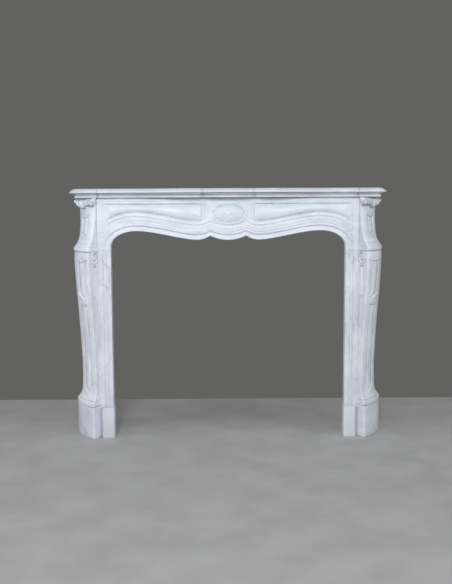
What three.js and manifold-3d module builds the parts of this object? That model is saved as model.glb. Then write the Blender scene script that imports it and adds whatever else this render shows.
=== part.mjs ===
// A carved marble mantel in the Louis XV manner: a serpentine shelf on an arched frieze,
// carried by two cabriole legs that stand diagonally under the corners.
// Millimetres, +Z up, the front faces -Y and +X is to the right. y = 0 is the front arris of the feet.
import * as THREE from 'three';
import { mergeVertices } from 'three/addons/utils/BufferGeometryUtils.js';
import Module from 'manifold-3d';

const wasm = await Module();
wasm.setup();

// Overall sizes
const mantelHeight = 1100;
const openingWidth = 1029;
const slipWidth = 56;
const wallY = 312;
const jointGap = 0.3;
const halfOpening = openingWidth / 2;
const friezeHalfWidth = halfOpening + slipWidth;

// Shelf
const shelfThickness = 39;
const shelfReach = 119.5;
const shelfNose = 19;
const shelfTopInset = 24;
const shelfFilletInset = 16;
const shelfOvoloInset = 25;
const shelfCorner = 48;
const shelfMiddleBow = 110;
const shelfLegNotch = friezeHalfWidth - 7;
const shelfHalfWidth = friezeHalfWidth + shelfReach;
const shelfBottom = mantelHeight - shelfThickness;
const underShelf = shelfBottom - jointGap;

// Frieze and slips
const friezeHeight = 227;
const slipFrontY = 50;
const slabThickness = 42;
const borderWidth = 22.5;
const bandWidth = 82;
const bandRelief = 5;
const fieldRelief = 11;
const topBandHeight = 27;
const sideBandWidth = 22;
const slipJointZ = shelfBottom - friezeHeight;

// Arch, with heights above the slips' bed joint
const archPeakX = halfOpening - 112.5;
const archPeak = slipJointZ + 82;
const archLobeX = 131;
const archLobe = slipJointZ + 43;
const archCuspX = 78.5;
const archCusp = slipJointZ + 60.5;
const archSpring = slipJointZ + 12;

// Oval boss
const ovalZ = slipJointZ + 153;
const ovalHalfWidth = 66;
const ovalHalfHeight = 38;
const ovalHeight = 15;
const ringWidth = 14;
const ringHeight = 7;

// Leg and the block above it
const footJointZ = 143;
const collarDrop = 6;
const legBackY = 176;
const rollRadius = 17.5;
const collarJointZ = slipJointZ - collarDrop;
const legHeight = collarJointZ - jointGap - footJointZ;
const blockHeight = underShelf - collarJointZ;
const scrollZ = underShelf - rollRadius - 2.5;

// Feet and the side return
const plinthArrisReach = 24.5;
const plinthReach = 118.5;
const plinthChamfer = 4;
const slipPlinthFrontY = 28;
const slipPlinthHeight = 136;
const slipPlinthProud = 5;
const slipPlinthInner = halfOpening - slipPlinthProud;
const slipPlinthOuter = friezeHalfWidth - 8.5;
const returnThickness = 30;
const returnOuter = friezeHalfWidth + 74.5;

const marbles = {
  white: new THREE.MeshStandardMaterial({ color: 0xdfe3ea, roughness: 0.45, metalness: 0 }),
  grey: new THREE.MeshStandardMaterial({ color: 0xc6cad2, roughness: 0.5, metalness: 0 }),
  bluish: new THREE.MeshStandardMaterial({ color: 0xb6bcc8, roughness: 0.55, metalness: 0 }),
  cream: new THREE.MeshStandardMaterial({ color: 0xd9d7d2, roughness: 0.6, metalness: 0 }),
};

const lerp = THREE.MathUtils.lerp;
const smoothstep = THREE.MathUtils.smoothstep;

// A value read along a list of [position, value...] stations, with a smooth curve through them.
function alongStations(stations, position, column) {
  const last = stations.length - 1;
  let i = 0;
  while (i < last - 1 && position > stations[i + 1][0]) i += 1;
  const at = (k) => stations[THREE.MathUtils.clamp(k, 0, last)];
  const [p0, p1] = [at(i), at(i + 1)];
  const t = THREE.MathUtils.clamp((position - p0[0]) / (p1[0] - p0[0]), 0, 1);
  const slope = (k) => {
    const [a, b] = [at(k - 1), at(k + 1)];
    return (b[column] - a[column]) / (b[0] - a[0]);
  };
  const h = p1[0] - p0[0];
  const t2 = t * t;
  const t3 = t2 * t;
  return (2 * t3 - 3 * t2 + 1) * p0[column] + (t3 - 2 * t2 + t) * h * slope(i)
    + (-2 * t3 + 3 * t2) * p1[column] + (t3 - t2) * h * slope(i + 1);
}

function enclosedVolume(positions, indices) {
  const [a, b, c] = [new THREE.Vector3(), new THREE.Vector3(), new THREE.Vector3()];
  let sum = 0;
  for (let i = 0; i < indices.length; i += 3) {
    a.fromArray(positions, indices[i] * 3);
    b.fromArray(positions, indices[i + 1] * 3);
    c.fromArray(positions, indices[i + 2] * 3);
    sum += a.dot(b.cross(c));
  }
  return sum / 6;
}

function closedGeometry(positions, indices) {
  if (enclosedVolume(positions, indices) < 0) {
    for (let i = 0; i < indices.length; i += 3) {
      [indices[i + 1], indices[i + 2]] = [indices[i + 2], indices[i + 1]];
    }
  }
  const geometry = new THREE.BufferGeometry();
  geometry.setAttribute('position', new THREE.Float32BufferAttribute(positions, 3));
  geometry.setIndex(indices);
  return geometry;
}

// A closed solid through a row of rings with equal counts; flat(point) gives the plane of the end caps.
function loft(rings, flat) {
  const count = rings[0].length;
  const indices = [];
  for (let r = 0; r < rings.length - 1; r += 1) {
    for (let i = 0; i < count; i += 1) {
      const j = (i + 1) % count;
      const [a, b, c, d] = [r * count + i, r * count + j, (r + 1) * count + j, (r + 1) * count + i];
      indices.push(a, b, c, a, c, d);
    }
  }
  for (const [r, flip] of [[0, true], [rings.length - 1, false]]) {
    const contour = rings[r].map(flat);
    const clockwise = THREE.ShapeUtils.isClockWise(contour);
    for (const [a, b, c] of THREE.ShapeUtils.triangulateShape(contour, [])) {
      const face = [a, b, c].map((k) => r * count + k);
      indices.push(...(flip !== clockwise ? face.reverse() : face));
    }
  }
  return closedGeometry(rings.flat(2), indices);
}

const seenFromAbove = (p) => new THREE.Vector2(p[0], p[1]);

function box(x0, x1, y0, y1, z0, z1) {
  const geometry = new THREE.BoxGeometry(x1 - x0, y1 - y0, z1 - z0);
  return geometry.translate((x0 + x1) / 2, (y0 + y1) / 2, (z0 + z1) / 2);
}

function toSolid(geometry) {
  const bare = geometry.clone();
  for (const name of ['normal', 'uv']) bare.deleteAttribute(name);
  const merged = mergeVertices(bare, 1e-3);
  return new wasm.Manifold(new wasm.Mesh({
    numProp: 3,
    vertProperties: new Float32Array(merged.attributes.position.array),
    triVerts: new Uint32Array(merged.index.array),
  }));
}

function toGeometry(solid) {
  const mesh = solid.getMesh();
  return closedGeometry(Array.from(mesh.vertProperties), Array.from(mesh.triVerts));
}

function joined(first, ...others) {
  let solid = toSolid(first);
  for (const other of others) solid = solid.add(toSolid(other));
  return solid;
}

function mirrored(geometry) {
  const copy = geometry.clone().scale(-1, 1, 1);
  return closedGeometry(Array.from(copy.attributes.position.array), Array.from(copy.index.array));
}

// Shelf front, seen from above: a bow in the middle, a longer one each side and a short piece over each leg,
// which meet in notches. [x, y] from the middle to the right-hand corner.
function shelfFront() {
  const [n1, n2] = [shelfMiddleBow, shelfLegNotch];
  const lip = 4.5;
  const middle = Array.from({ length: 7 }, (_, i) => [(n1 - lip) * (i / 6), -36 + 16 * (i / 6) ** 2]);
  const sweep = [[0, -18], [0.065, -27], [0.17, -30], [0.29, -23], [0.42, -9], [0.54, 2], [0.67, 7],
    [0.81, 5], [0.93, 0], [1, 0]];
  const side = sweep.map(([share, y]) => [lerp(n1 + lip, n2 - lip, share), y]);
  const cornerX = shelfHalfWidth - shelfCorner;
  const corner = Array.from({ length: 6 }, (_, i) => {
    const angle = (i / 5) * (Math.PI / 2);
    return [cornerX + shelfCorner * Math.sin(angle), 2 + shelfCorner * 1.2 * (1 - Math.cos(angle))];
  });
  return [...middle, [n1, -8], ...side, [n2, 9], [n2 + lip, 0], ...corner];
}

function shelfGeometry() {
  const half = shelfFront();
  const outline = [...half.slice().reverse().map(([x, y]) => [-x, y]).slice(0, -1), ...half];
  const full = [[-shelfHalfWidth, wallY], ...outline, [shelfHalfWidth, wallY]];
  const normalAt = (i) => {
    const [x0, y0] = full[Math.max(i - 1, 0)];
    const [x1, y1] = full[Math.min(i + 1, full.length - 1)];
    const length = Math.hypot(x1 - x0, y1 - y0);
    return [(y1 - y0) / length, -(x1 - x0) / length];
  };
  const inset = (distance, z) => full.map(([x, y], i) => {
    const [nx, ny] = normalAt(i);
    const atWall = i === 0 || i === full.length - 1;
    return [x - nx * distance, atWall ? wallY : y - ny * distance, z];
  });
  const top = mantelHeight;
  const noseZ = top - shelfNose;
  const profile = [[shelfTopInset, top], [shelfTopInset - 10, top - 2.5], [6, top - 8], [1, noseZ + 5],
    [0, noseZ + 2], [2, noseZ], [shelfFilletInset + 3, noseZ], [shelfFilletInset, noseZ - 1],
    [shelfFilletInset, noseZ - 5], [shelfOvoloInset, noseZ - 6.5], [shelfOvoloInset - 1, noseZ - 10],
    [shelfOvoloInset - 3, shelfBottom + 5], [shelfOvoloInset - 2, shelfBottom]];
  return loft(profile.map(([distance, z]) => inset(distance, z)), seenFromAbove);
}

// Arch edge of the frieze, right-hand half, from the middle to the bed joint.
function archEdge() {
  const path = new THREE.Path();
  path.moveTo(0, archLobe - 0.8);
  path.quadraticCurveTo(archCuspX * 0.5, archLobe - 0.8, archCuspX, archCusp);
  path.quadraticCurveTo(archCuspX + 28, archLobe + 0.5, archLobeX, archLobe);
  const reach = archPeakX - archLobeX;
  path.bezierCurveTo(archLobeX + reach * 0.25, archLobe - 1, archLobeX + reach * 0.68, archPeak,
    archPeakX, archPeak);
  path.bezierCurveTo(archPeakX + (halfOpening - archPeakX) * 0.55, archPeak, halfOpening,
    lerp(archSpring, archPeak, 0.6), halfOpening, archSpring);
  const steps = [5, 4, 13, 11];
  const points = path.curves.flatMap((curve, i) => curve.getPoints(steps[i]).slice(i === 0 ? 0 : 1)
    .map((p, k) => ({ x: p.x, z: p.y, part: i, t: (k + (i === 0 ? 0 : 1)) / steps[i] })));
  points.push({ x: halfOpening, z: slipJointZ + jointGap, part: 4, t: 1 });
  return points;
}

// The outer end of the rib that starts at a point of the arch edge: up to the top, round the corner, to the side.
function outerEnd(point) {
  const top = underShelf;
  if (point.part < 3) return [point.x, top];
  if (point.part === 4) return [friezeHalfWidth, point.z];
  if (point.t <= 0.5) return [lerp(archPeakX, friezeHalfWidth, point.t * 2), top];
  const down = (point.t - 0.5) * 2;
  return [friezeHalfWidth, lerp(top, archSpring, 1 - (1 - down) ** 1.6)];
}

// Rows across the frieze, as distances from the arch edge: where there is room, and squeezed over the slips.
const openRows = [0, 18, 20.5, 23, 26, 36, 60, 74, 79, 82, 88, 98];
const tightRows = [0, 18, 20.5, 23, 26, 30, 34, 38, 42, 46, 50, 53];

function friezeRelief(distance, x, fieldShare) {
  const d = distance;
  if (d <= 18) return 0;
  if (d < borderWidth + 1) return -4 * Math.sin(((d - 18) / (borderWidth + 1 - 18)) * Math.PI);
  const reach = smoothstep(x, 100, 109) * (1 - smoothstep(x, friezeHalfWidth - 40, friezeHalfWidth - 20));
  const band = bandRelief * Math.min(1, (d - borderWidth) / 3.5);
  const bandEdge = 3 * Math.exp(-(((d - 75) / 6) ** 2));
  const quirk = -9 * Math.exp(-(((d - bandWidth) / 3.2) ** 2));
  const pillow = d > bandWidth ? fieldRelief * Math.sin(Math.PI * Math.min(fieldShare, 1)) ** 0.6 - 5 : 0;
  return band + reach * (bandEdge + quirk + pillow);
}

function friezeRing(point, side) {
  const [ex, ez] = outerEnd(point);
  const length = Math.hypot(ex - point.x, ez - point.z);
  const room = length / (friezeHalfWidth - halfOpening);
  const rows = openRows.map((open, k) => Math.min(open, tightRows[k] * room));
  const topZ = underShelf - topBandHeight;
  const lastRow = rows[rows.length - 1];
  for (const share of [0.25, 0.5, 0.75, 1]) rows.push(lerp(lastRow, length, share));
  const ring = rows.map((d) => {
    const [x, z] = [lerp(point.x, ex, d / length), lerp(point.z, ez, d / length)];
    const fieldLength = Math.max(length - topBandHeight - bandWidth, 1);
    const relief = z > topZ ? 0 : friezeRelief(d, x, (d - bandWidth) / fieldLength);
    return [side * x, slipFrontY - relief, z];
  });
  const backY = slipFrontY + slabThickness;
  ring.push([side * ex, backY, ez], [side * point.x, backY, point.z]);
  return ring;
}

// A dome or ring over an ellipse, standing on the frieze: a lathed profile squashed to the oval's shape.
function ovalTurning(profile) {
  const points = profile.map(([radius, height]) => new THREE.Vector2(radius, height));
  const geometry = new THREE.LatheGeometry(points, 28);
  geometry.scale(1, 1, ovalHalfHeight / ovalHalfWidth);
  geometry.rotateX(Math.PI);
  return geometry.translate(0, slipFrontY + 2, ovalZ);
}

function ovalBoss() {
  const rim = 4;
  const dome = Array.from({ length: 7 }, (_, i) => {
    const angle = (i / 7) * (Math.PI / 2);
    return [ovalHalfWidth * Math.cos(angle), rim + ovalHeight * Math.sin(angle)];
  });
  return ovalTurning([[0, 0], [ovalHalfWidth, 0], ...dome, [0, rim + ovalHeight]]);
}

function ovalRing() {
  const [inner, outer] = [ovalHalfWidth + 2, ovalHalfWidth + ringWidth];
  const middle = (inner + outer) / 2;
  const top = bandRelief + ringHeight;
  return ovalTurning([[inner, 0], [outer, 0], [outer, top - 4], [middle + 3, top], [middle - 3, top],
    [inner, top - 4], [inner, 0]]);
}

function friezeGeometry() {
  const half = archEdge();
  const left = half.slice(1).reverse().map((point) => friezeRing(point, -1));
  const right = half.map((point) => friezeRing(point, 1));
  const slab = loft([...left, ...right], (p) => new THREE.Vector2(p[0], p[1]));
  const w = friezeHalfWidth;
  const topBand = box(-w, w, slipFrontY - 6, slipFrontY + 5, underShelf - topBandHeight, underShelf);
  const bandFloor = slipJointZ + jointGap;
  const side = box(w - sideBandWidth, w, slipFrontY - 4, slipFrontY + 5, bandFloor, underShelf);
  return toGeometry(joined(slab, topBand, side, mirrored(side), ovalBoss(), ovalRing()));
}

// Plan of a leg, block or plinth at one height. The arris (ax, ay) stands in front; the outer face
// curves from it to the widest point, and the inner face runs back to the slip.
function legPlan({ ax, ay, ox, innerX, innerY }, outerColumns, innerColumns, z, relief) {
  const w = ox - ax;
  const start = new THREE.Vector2(ax, ay);
  const outer = new THREE.QuadraticBezierCurve(start, new THREE.Vector2(ax + 0.78 * w, ay + 0.66 * w),
    new THREE.Vector2(ox, ay + 1.6 * w));
  const inner = new THREE.LineCurve(new THREE.Vector2(innerX, innerY), start);
  const onFace = (curve, u, outward, depth) => {
    const p = curve.getPoint(u);
    const t = curve.getTangent(u);
    return [p.x + t.y * outward * depth, p.y - t.x * outward * depth, z];
  };
  const outerPoints = outerColumns.map((u) => onFace(outer, u, 1, relief.outer(u, z)));
  const innerPoints = innerColumns.map((u) => onFace(inner, u, 1, relief.inner(u, z)));
  return [...innerPoints, ...outerPoints, [ox - 3, legBackY, z], [innerX, legBackY, z]];
}

// Stations of the leg from its foot moulding to the collar: [share of its height, how far the arris stands
// out from the frieze's side, arris y, how far the widest point stands out].
const legStations = [
  [0, 23.5, 1, 118], [0.012, 23.5, 0, 119], [0.023, 23.5, 0, 119], [0.032, 22, 3, 116],
  [0.039, 21, 6, 112], [0.054, 17.5, 14, 104], [0.079, 15, 18, 97], [0.142, 14, 19, 93.5],
  [0.229, 13.5, 18, 92.5], [0.302, 14, 16, 93.5], [0.405, 16, 11, 95.5], [0.511, 19.5, 5, 98.5],
  [0.628, 23.5, -1, 102], [0.733, 27.5, -7, 107], [0.884, 31.5, -12, 112.5], [0.96, 31.5, -13, 114.5],
  [1, 29.5, -11, 113.5],
];

// The same for the block above: collar, hollow neck and the level under the scroll.
const blockStations = [
  [0, 29.5, -12, 114.5], [0.025, 30.5, -14, 117.5], [0.064, 30.5, -14, 117.5], [0.089, 28.5, -11, 113.5],
  [0.119, 26.5, -8, 107.5], [0.157, 22.5, -3, 101.5], [0.221, 17.5, 3, 95], [0.327, 12.5, 9, 90.5],
  [0.475, 7.5, 14, 89], [0.624, 4.5, 17, 89], [0.772, 3.5, 18, 90.5], [1, 3.5, 18, 92],
];

const inBand = (value, low, high, soft) => smoothstep(value, low - soft, low + soft)
  * (1 - smoothstep(value, high - soft, high + soft));

// A sunk panel with a raised strip in it, between two heights of the outer face.
function panelRelief(u, height, low, high) {
  const groove = -6 * inBand(u, 0.51, 0.62, 0.02) - 2 * inBand(u, 0.17, 0.22, 0.02);
  const strip = -1.5 * inBand(u, 0.22, 0.51, 0.02);
  return inBand(height, low, high, 0.007) * (groove + strip);
}

// A scalloped apron that hangs from the top of the leg, its edge lowest over the middle of the panel.
function apronRelief(u, height) {
  const edge = 1 - 0.044 - 0.02 * Math.sin(Math.PI * THREE.MathUtils.clamp((u + 0.02) / 0.7, 0, 1));
  return 2.5 * smoothstep(height, edge - 0.003, edge + 0.003) * inBand(u, 0.05, 0.66, 0.04);
}

const bump = (value, centre, width) => Math.exp(-(((value - centre) / width) ** 2));

const legRelief = {
  outer: (u, height) => {
    const panels = panelRelief(u, height, 0.726, 0.918) + panelRelief(u, height, 0.107, 0.616);
    const leaf = 3 * inBand(u, 0.2, 0.66, 0.05) * inBand(height, 0.625, 0.685, 0.009);
    const curl = 2.5 * inBand(u, 0.26, 0.7, 0.08) * inBand(height - 0.058 * (u - 0.45), 0.072, 0.101, 0.007);
    return panels + apronRelief(u, height) + leaf + curl;
  },
  inner: (u, height) => {
    const volute = 5 * bump(u, 0.34, 0.26) * bump(height, 0.96, 0.035);
    const bar = 2.5 * bump(u, 0.33, 0.2) * bump(height, 0.908, 0.007);
    const stem = 2 * bump(u, 0.38, 0.12) * inBand(height, 0.6, 0.88, 0.018);
    return (volute + bar + stem) * smoothstep(u, 0, 0.2);
  },
};

const blockRelief = {
  outer: (u, height) => {
    const groove = -5.5 * inBand(u, 0.51, 0.63, 0.02) - 1.5 * inBand(u, 0.22, 0.3, 0.02);
    const petal = 3 * inBand(u, 0.25, 0.6, 0.06) * inBand(height, 0.19, 0.3, 0.025);
    const arch = 2.5 * inBand(u, 0.2, 0.7, 0.04) * inBand(height, 0.636, 0.704, 0.013);
    return inBand(height, 0.3, 0.63, 0.02) * groove + petal + arch;
  },
  inner: () => 0,
};

const plain = { outer: () => 0, inner: () => 0 };
const carvedColumns = [0.03, 0.15, 0.22, 0.3, 0.4, 0.49, 0.53, 0.6, 0.65, 0.74, 0.88, 1];
const innerColumns = [0, 0.22, 0.45, 0.68, 1];

// Plan rings of a leg or block at the given shares of its height.
function carvedRings(stations, shares, bottom, height, relief) {
  const inner = { innerX: friezeHalfWidth + jointGap, innerY: slipFrontY };
  return shares.map((share) => {
    const [arris, ay, widest] = [1, 2, 3].map((column) => alongStations(stations, share, column));
    const reach = { ax: friezeHalfWidth + arris, ay, ox: friezeHalfWidth + widest };
    return legPlan({ ...reach, ...inner }, carvedColumns, innerColumns, bottom + share * height, {
      outer: (u) => relief.outer(u, share),
      inner: (u) => relief.inner(u, share),
    });
  });
}

function legGeometry() {
  const shares = [0, 0.012, 0.023, 0.032, 0.041, 0.054, 0.072, 0.088, 0.104, 0.118, 0.23, 0.346, 0.463, 0.603,
    0.618, 0.631, 0.659, 0.685, 0.702, 0.72, 0.74, 0.813, 0.884, 0.916, 0.93, 0.945, 0.968, 1];
  return loft(carvedRings(legStations, shares, footJointZ, legHeight, legRelief), seenFromAbove);
}

// Stations along the scroll, from its spiral end outwards: [share of its length, half its width, half its
// height]. It starts as a round roll. Three lobes of a leaf follow, all hung from the roll's top line.
const scrollStations = [
  [-0.03, 8, 8], [0, 14, 14], [0.06, 17.5, 17.5], [0.44, 17.5, 17.5], [0.47, 16.5, 16.5], [0.53, 21, 21],
  [0.62, 23, 22.5], [0.7, 22, 20], [0.735, 19.5, 16.5], [0.78, 23, 18.5], [0.86, 23.5, 17.5], [0.92, 20, 12],
  [0.96, 22.5, 11.5], [1.02, 20, 8.5], [1.06, 11, 5],
];

function scrollGeometry() {
  const start = new THREE.Vector3(friezeHalfWidth + 8.5, 13, scrollZ + rollRadius);
  const axis = new THREE.Vector3(82, 105, 0);
  const across = new THREE.Vector3(axis.y, -axis.x, 0).normalize();
  const rings = scrollStations.map(([share, halfWidth, halfHeight]) => Array.from({ length: 12 }, (_, k) => {
    const angle = (k / 12) * 2 * Math.PI;
    const at = start.clone().addScaledVector(axis, share).addScaledVector(across, halfWidth * Math.cos(angle));
    return [at.x, at.y, at.z - halfHeight * (1 - Math.sin(angle))];
  }));
  return loft(rings, (p) => new THREE.Vector2(p[0] * across.x + p[1] * across.y, p[2]));
}

function upperBlockGeometry() {
  const shares = [0, 0.02, 0.064, 0.089, 0.119, 0.157, 0.204, 0.255, 0.306, 0.475, 0.63, 0.66, 0.687, 0.72, 1];
  const body = loft(carvedRings(blockStations, shares, collarJointZ, blockHeight, blockRelief), seenFromAbove);
  const side = friezeHalfWidth + jointGap;
  const above = box(side - 60, side + 200, -100, 200, underShelf, underShelf + 60);
  const beside = box(side - 60, side, -100, 200, collarJointZ, underShelf + 60);
  return toGeometry(joined(body, scrollGeometry()).subtract(joined(above, beside)));
}

// The foot laps over the edge of the slip's plinth and is cut back behind, where the slip comes down.
function footPlinthGeometry() {
  const columns = [0, 0.12, 0.25, 0.38, 0.5, 0.62, 0.75, 0.88, 1];
  const inner = { innerX: slipPlinthOuter + jointGap, innerY: slipFrontY - jointGap };
  const [arris, widest] = [friezeHalfWidth + plinthArrisReach, friezeHalfWidth + plinthReach];
  const besideSlip = friezeHalfWidth + jointGap;
  const plan = (z, cut) => {
    const reach = { ax: arris - cut * 0.2, ay: cut, ox: widest - cut };
    const ring = legPlan({ ...reach, ...inner }, columns, [0, 0.5, 1], z, plain);
    return [...ring.slice(0, -1), [besideSlip, legBackY, z], [besideSlip, inner.innerY, z]];
  };
  const top = footJointZ - jointGap;
  return loft([plan(0, 1), plan(6, 0), plan(top - plinthChamfer, 0), plan(top, plinthChamfer)], seenFromAbove);
}

// A slab standing under the frieze's ear, with two fine grooves down its face.
function slipGeometry() {
  const [x0, x1] = [halfOpening, friezeHalfWidth];
  const [y0, y1] = [slipFrontY, slipFrontY + slabThickness];
  const groove = (x) => [[x - 1.5, y0], [x, y0 + 2], [x + 1.5, y0]];
  const grooves = [0.45, 0.62].flatMap((share) => groove(lerp(x0, x1, share)));
  const plan = [[x0, y0], ...grooves, [x1, y0], [x1, y1], [x0, y1]];
  return loft([slipPlinthHeight, slipJointZ].map((z) => plan.map(([x, y]) => [x, y, z])), seenFromAbove);
}

function slipPlinthGeometry() {
  const y1 = slipFrontY + slabThickness;
  return box(slipPlinthInner, slipPlinthOuter, slipPlinthFrontY, y1, 0, slipPlinthHeight - jointGap);
}

function sideReturnGeometry() {
  return box(returnOuter - returnThickness, returnOuter, legBackY + jointGap, wallY, 0, underShelf);
}

function piece(name, geometry, material) {
  const mesh = new THREE.Mesh(geometry, material);
  mesh.name = name;
  return mesh;
}

function pair(name, geometry, material) {
  return [piece(`${name}_left`, mirrored(geometry), material), piece(`${name}_right`, geometry, material)];
}

const indexed = (geometry) => mergeVertices(geometry.deleteAttribute('normal').deleteAttribute('uv'));

const mantel = new THREE.Group();
mantel.name = 'mantel';
mantel.add(
  piece('shelf', shelfGeometry(), marbles.white),
  piece('frieze', friezeGeometry(), marbles.white),
  ...pair('upper_block', upperBlockGeometry(), marbles.white),
  ...pair('leg', legGeometry(), marbles.grey),
  ...pair('foot_plinth', footPlinthGeometry(), marbles.bluish),
  ...pair('slip', slipGeometry(), marbles.grey),
  ...pair('slip_plinth', indexed(slipPlinthGeometry()), marbles.cream),
  ...pair('side_return', indexed(sideReturnGeometry()), marbles.grey),
);

// The origin is the middle of the footprint's box, on the floor.
const extent = new THREE.Box3().setFromObject(mantel);
mantel.position.set(0, -(extent.min.y + extent.max.y) / 2, 0);

export default mantel;
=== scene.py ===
# %% [markdown]
# # A carved marble mantel
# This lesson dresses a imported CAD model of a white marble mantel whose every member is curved: a serpentine
# shelf, an arched frieze with an oval boss, and two cabriole legs that stand diagonally on block feet.
# The CAD solids hold the true outline and sizes. Here each of them gets a finer skin with the carving that
# the chisel left, and a stone with veins, dust in its hollows and worn edges.

import math

import bmesh
import bpy
from mathutils import Matrix, Vector, noise


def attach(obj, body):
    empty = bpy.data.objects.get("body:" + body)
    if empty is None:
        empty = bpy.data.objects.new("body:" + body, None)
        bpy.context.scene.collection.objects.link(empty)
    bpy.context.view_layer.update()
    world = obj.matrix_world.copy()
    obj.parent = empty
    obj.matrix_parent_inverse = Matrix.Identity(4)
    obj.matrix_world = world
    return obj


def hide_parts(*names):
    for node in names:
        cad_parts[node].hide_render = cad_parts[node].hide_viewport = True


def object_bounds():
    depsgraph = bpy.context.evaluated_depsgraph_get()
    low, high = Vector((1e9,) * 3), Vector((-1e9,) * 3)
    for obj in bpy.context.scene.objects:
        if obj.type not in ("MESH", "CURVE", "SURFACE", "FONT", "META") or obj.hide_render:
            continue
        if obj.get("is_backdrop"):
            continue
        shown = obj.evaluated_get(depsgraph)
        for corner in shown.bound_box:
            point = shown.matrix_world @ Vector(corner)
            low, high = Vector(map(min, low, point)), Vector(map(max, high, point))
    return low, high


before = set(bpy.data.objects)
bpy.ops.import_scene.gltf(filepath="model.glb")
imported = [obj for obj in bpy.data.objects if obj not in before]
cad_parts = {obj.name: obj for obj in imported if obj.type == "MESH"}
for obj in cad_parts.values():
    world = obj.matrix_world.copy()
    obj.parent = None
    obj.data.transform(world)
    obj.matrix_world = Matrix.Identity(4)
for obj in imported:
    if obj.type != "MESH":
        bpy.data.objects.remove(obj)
cad_low, cad_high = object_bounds()
print("CAD box from", [round(v, 3) for v in cad_low], "to", [round(v, 3) for v in cad_high])

# %% [markdown]
# ## Measures
# Masons draw a mantel from a few lengths: its height, the width of the opening, and how far each member
# stands out. The numbers below are those of the CAD model, in millimetres, with y = 0 at the sharp front edge
# (the arris) of the feet and y growing towards the back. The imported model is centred, so `placed` moves each
# point by the same step and turns millimetres to metres.

# %% Sizes
MM = 0.001
BACK_Y = 312             # y of the mantel's back
MANTEL_TOP = 1100
HALF_OPENING = 514.5
FRIEZE_SIDE = 570.5
SHELF_BOTTOM = 1061
JOINT = 0.3              # open width of a joint between two stones
UNDER_SHELF = SHELF_BOTTOM - JOINT
SLIP_JOINT = 834
COLLAR_JOINT = 828
FOOT_JOINT = 143
SLIP_PLINTH_TOP = 136
SLIP_FRONT = 50          # y of the slips' and the frieze's plain face
SLAB = 42                # thickness of the frieze and of the slips
LEG_BACK = 176
SHIFT_Y = cad_high.y / MM - BACK_Y
SIDES = ((-1, "left"), (1, "right"))


def placed(x, y, z):
    """A point of the drawing, in the frame's metres."""
    return Vector((x, y + SHIFT_Y, z)) * MM


print("step from the drawing to the frame:", round(SHIFT_Y, 2), "mm")

# %% [markdown]
# ## Curves that a carver uses
# Carving is a height over a surface: a groove is a dip, a bead is a hump, and a panel is a level between two
# soft steps. Four small functions give those shapes. `reading` draws a smooth line through stations, as a
# carver does with a thin batten, and `bezier` draws one from a few controls.

# %% Small shapes
def smooth(value, low, high):
    """0 below low, 1 above high, and a soft step between them."""
    share = min(max((value - low) / (high - low), 0), 1)
    return share * share * (3 - 2 * share)


def hump(value, centre, width):
    """1 at the centre, falling away on both sides like a bell."""
    return math.exp(-(((value - centre) / width) ** 2))


def level(value, low, high, soft):
    """1 between low and high, with soft sides."""
    return smooth(value, low - soft, low + soft) * (1 - smooth(value, high - soft, high + soft))


def lerp(a, b, share):
    """The value at a share of the way from a to b."""
    return a + (b - a) * share


def reading(stations, position, column):
    """A value read along rows of (position, value...), with a smooth curve through them."""
    last = len(stations) - 1
    i = 0
    while i < last - 1 and position > stations[i + 1][0]:
        i += 1
    rows = [stations[min(max(k, 0), last)] for k in (i - 1, i, i + 1, i + 2)]
    span = rows[2][0] - rows[1][0]
    t = min(max((position - rows[1][0]) / span, 0), 1)
    slopes = [(b[column] - a[column]) / (b[0] - a[0]) for a, b in (rows[0:3:2], rows[1:4:2])]
    t2, t3 = t * t, t * t * t
    return ((2 * t3 - 3 * t2 + 1) * rows[1][column] + (t3 - 2 * t2 + t) * span * slopes[0]
            + (3 * t2 - 2 * t3) * rows[2][column] + (t3 - t2) * span * slopes[1])


def bezier(controls, count):
    """Points on a curve with three or four controls, the first one left out."""
    points = []
    for k in range(1, count + 1):
        row = [Vector(c) for c in controls]
        while len(row) > 1:
            row = [a.lerp(b, k / count) for a, b in zip(row, row[1:])]
        points.append(row[0])
    return points


print("a soft step at its middle:", smooth(0.5, 0, 1))

# %% [markdown]
# ## A skin over a form
# Each block of stone could be carved by sculpting, or with displacement. A grid that is laid round the form
# like a sheet of clay is easier to control: `create_grid` makes the sheet, and each of its points is put where
# the piece's own drawing says. Where the sheet's two edges meet, `remove_doubles` welds them, `holes_fill`
# closes the ends, and the normals are then recalculated to face outwards. The drawing also says how much dust
# and painted shade each point holds, which is kept as an attribute for the stone's colour.

# %% Skin
DUST_AND_SHADE = "dust_and_shade"
HANDLED = 0.12            # dust: the grey film on every face that is touched or faces the opening
WELD = 2e-6               # points nearer than this are one, in metres


def skin(columns, rows, drawing):
    """A closed mesh from a grid, whose point at column i and row j is drawing(i, j): x, y, z, and dust with
    painted shade.
    """
    bm = bmesh.new()
    # The attribute holds dust and painted shade.
    dust_and_shade = bm.verts.layers.float.new(DUST_AND_SHADE)
    bmesh.ops.create_grid(bm, x_segments=columns, y_segments=rows, size=0.5)
    for vert in bm.verts:
        i, j = round((vert.co.x + 0.5) * columns), round((vert.co.y + 0.5) * rows)
        x, y, z, held = drawing(i, j)
        vert.co = placed(x, y, z)
        vert[dust_and_shade] = held
    bmesh.ops.remove_doubles(bm, verts=bm.verts, dist=WELD)
    bmesh.ops.holes_fill(bm, edges=[e for e in bm.edges if e.is_boundary], sides=0)
    bmesh.ops.recalc_face_normals(bm, faces=bm.faces)
    return bm


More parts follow.
